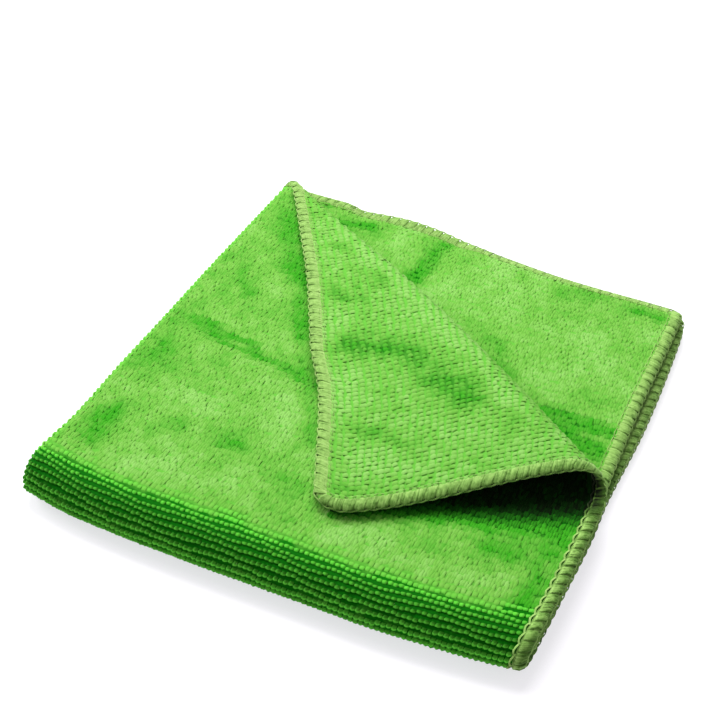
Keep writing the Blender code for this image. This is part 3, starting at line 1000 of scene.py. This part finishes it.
# The scallops where the looper threads lock along the very edge.
bow = np.linspace(0, pi, 6)
t = stitch_starts[:, None] + stitch_lengths[:, None] * (bow / pi)[None, :]
inward = 0.10 - 0.40 * np.sin(bow)[None, :]
off = 0.25 * np.cos(bow)[None, :]
scallops = threads("hem_edge_loops", t, inward, off, 0.21 + 0.0 * t, 0.5)
dress(scallops, olive)

# The needle thread along the inner line of both sides.
for name, side, line, reach, radius, tone_and_painted_shade in (
    ("hem_chain_right_side", 1, HEM_WIDTH - 0.38, 0.32, 0.28, 0.42),
    ("hem_chain_reverse", -1, HEM_WIDTH, 0.12, 0.14, 0.35),
):
    run = np.array([-0.1, 0.25, 0.5, 0.75, 1.1])
    t = stitch_starts[:, None] + stitch_lengths[:, None] * run[None, :]
    inward = line + reach * np.array([-1.0, 0.4, 1.0, 0.4, -1.0])[None, :]
    off = side * np.array([0.62, 0.86, 0.92, 0.86, 0.62])[None, :]
    chain = threads(name, t, inward, off, radius + 0.0 * t, tone_and_painted_shade)
    dress(chain, olive)

# ---------------------------------------------------------------------------------------------
# The stage, which is no part of the cloth: a plain sheet of pale paper that is lit mostly from
# within, two large soft lamps in a pale room, and the camera where it stood for the photograph.
# ---------------------------------------------------------------------------------------------
FLOOR_SIZE = 6.0
data = bpy.data.meshes.new("floor")
half = FLOOR_SIZE / 2
corners = [(-half, -half, 0), (half, -half, 0), (half, half, 0), (-half, half, 0)]
data.from_pydata(corners, [], [(0, 1, 2, 3)])
floor = bpy.data.objects.new("floor", data)
bpy.context.scene.collection.objects.link(floor)
paper = bpy.data.materials.new("white paper")
paper.use_nodes = True
surface = paper.node_tree.nodes["Principled BSDF"]
surface.inputs["Base Color"].default_value = (0.40, 0.393, 0.404, 1.0)
surface.inputs["Roughness"].default_value = 0.9
surface.inputs["Emission Color"].default_value = (0.97, 0.95, 1.0, 1.0)
surface.inputs["Emission Strength"].default_value = 0.69
data.materials.append(paper)

world = bpy.data.worlds.new("studio")
bpy.context.scene.world = world
world.use_nodes = True
world.node_tree.nodes["Background"].inputs["Color"].default_value = (1.0, 1.0, 1.0, 1.0)
world.node_tree.nodes["Background"].inputs["Strength"].default_value = 0.42


def soft_light(name, towards, distance, size, power):
    """A round soft lamp in this direction from the cloth, facing it."""
    light = bpy.data.lights.new(name, "AREA")
    light.shape = "DISK"
    light.size = size
    light.energy = power
    lamp = bpy.data.objects.new(name, light)
    bpy.context.scene.collection.objects.link(lamp)
    towards = Vector(towards).normalized()
    lamp.location = towards * distance
    lamp.rotation_euler = towards.to_track_quat("Z", "Y").to_euler()
    return lamp


soft_light("softbox behind", (-0.30, 0.55, 0.78), 1.2, 0.9, 22.0)
soft_light("softbox on the left", (-0.85, 0.10, 0.50), 1.2, 0.6, 10.0)

CAMERA_AZIMUTH = radians(25.85)
CAMERA_HEIGHT = radians(45.61)
CAMERA_DISTANCE = 439.2
LOOKS_AT = (61.3, 89.95, 0.0)
camera_data = bpy.data.cameras.new("camera")
camera_data.lens = 68.54
camera_data.sensor_width = 36.0
camera = bpy.data.objects.new("camera", camera_data)
bpy.context.scene.collection.objects.link(camera)
back = Vector((
    sin(CAMERA_AZIMUTH) * cos(CAMERA_HEIGHT),
    -cos(CAMERA_AZIMUTH) * cos(CAMERA_HEIGHT),
    sin(CAMERA_HEIGHT),
))
target = Vector(in_frame(np.array(LOOKS_AT)))
camera.location = target + back * CAMERA_DISTANCE * MM
camera.rotation_euler = back.to_track_quat("Z", "Y").to_euler()
bpy.context.scene.camera = camera
bpy.context.scene.view_settings.view_transform = "Standard"
